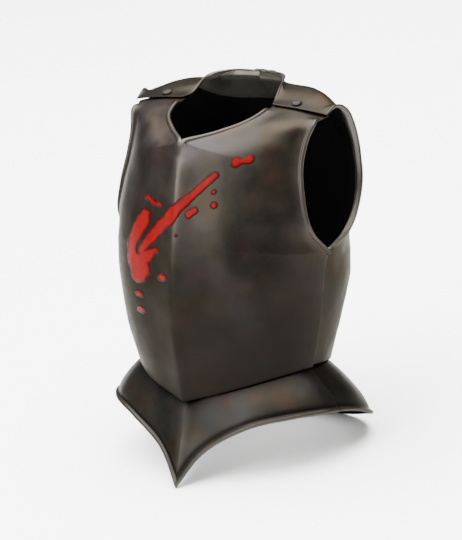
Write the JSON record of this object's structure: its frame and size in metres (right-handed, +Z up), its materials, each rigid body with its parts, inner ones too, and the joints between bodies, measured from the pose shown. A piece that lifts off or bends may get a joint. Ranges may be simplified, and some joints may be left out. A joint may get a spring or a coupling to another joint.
{
  "type": "steel breastplate",
  "caption": "Dark steel cuirass: keeled breastplate and backplate, open at neck, arms and waist, with flared skirt plates and a pointed front.",
  "frame": {"origin": "on the floor under the middle of the part's bounding box, as the cuirass stands", "axes": "+Z up, -Y the way the chest faces, +X to the wearer's left"},
  "size_m": [0.3806, 0.3864, 0.5149],
  "materials": {
    "breastplate": "dark oiled plate steel, hand polished and tarnished, with a splash of red on the chest",
    "backplate": "dark oiled plate steel, tarnished",
    "fauld": "dark oiled plate steel, tarnished",
    "culet": "dark oiled plate steel, tarnished",
    "shoulder_rivet_left": "blackened iron rivet",
    "shoulder_rivet_right": "blackened iron rivet"
  },
  "bodies": {
    "root": {"breastplate": "breastplate", "backplate": "backplate", "fauld": "fauld", "culet": "culet", "shoulder_rivet_left": "shoulder_rivet_left", "shoulder_rivet_right": "shoulder_rivet_right"}
  },
  "joints": []
}
